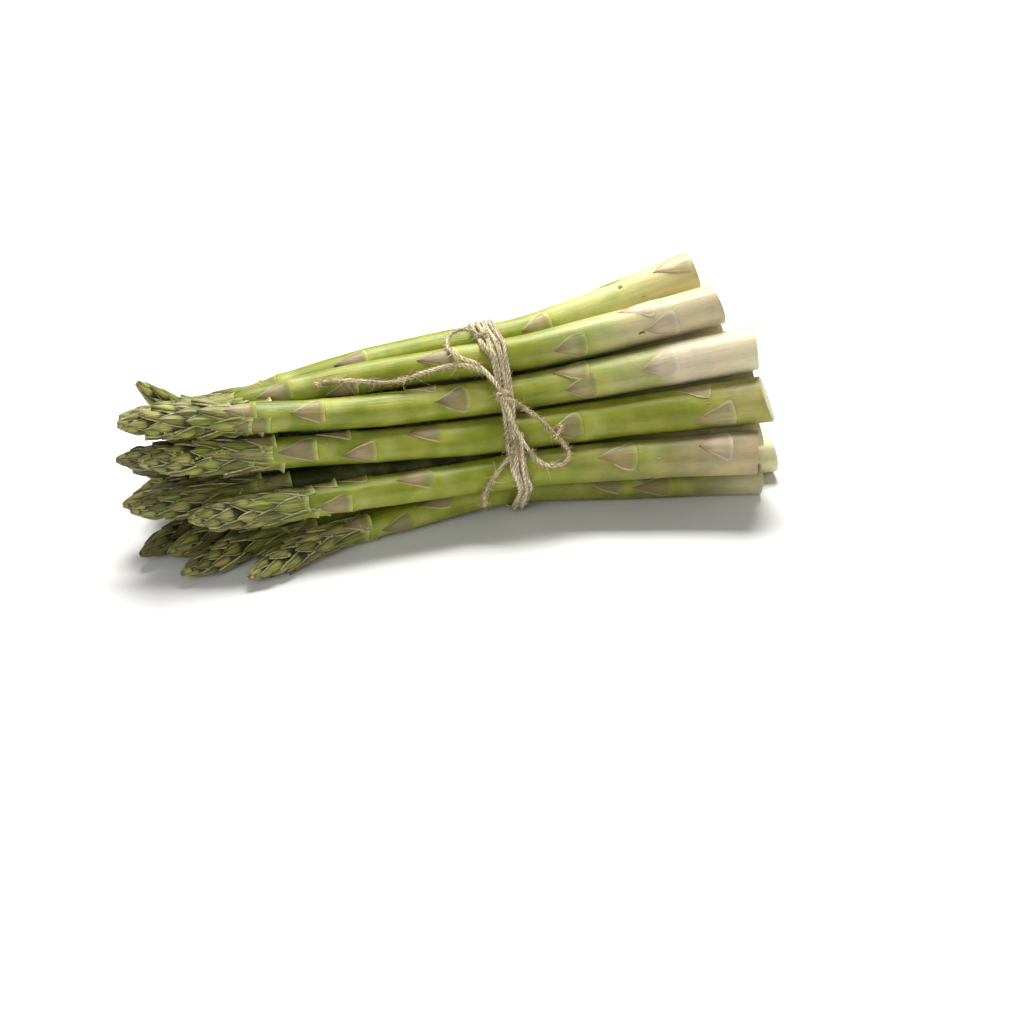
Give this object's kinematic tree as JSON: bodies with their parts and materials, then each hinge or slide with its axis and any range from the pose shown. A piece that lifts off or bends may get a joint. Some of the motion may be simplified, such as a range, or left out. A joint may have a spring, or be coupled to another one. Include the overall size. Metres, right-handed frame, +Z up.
{
  "type": "bundle of asparagus",
  "caption": "Bunch of green asparagus spears lying on its side, tied round the middle with jute twine in a small bow.",
  "frame": {"origin": "middle of the bunch's bounding box, on the surface that it lies on", "axes": "+Z up; the spears lie along X, with the cut ends at +X and the heads at -X; the twine's knot faces -Y"},
  "size_m": [0.2324, 0.0932, 0.0766],
  "materials": {
    "spear": "satin, fresh and waxy, green with pale mauve cut ends and olive heads",
    "twine": "rough twisted jute with loose fibres"
  },
  "bodies": {
    "root": {"spear_01": "spear", "spear_02": "spear", "spear_03": "spear", "spear_04": "spear", "spear_05": "spear", "spear_06": "spear", "spear_07": "spear", "spear_08": "spear", "spear_09": "spear", "spear_10": "spear", "spear_11": "spear", "spear_12": "spear", "spear_13": "spear", "spear_14": "spear", "spear_15": "spear", "spear_16": "spear", "spear_17": "spear", "spear_18": "spear", "twine_wraps": "twine", "twine_knot": "twine", "twine_tail_left": "twine", "twine_tail_lower": "twine", "twine_bow_loop": "twine", "twine_small_loop": "twine"}
  },
  "joints": []
}
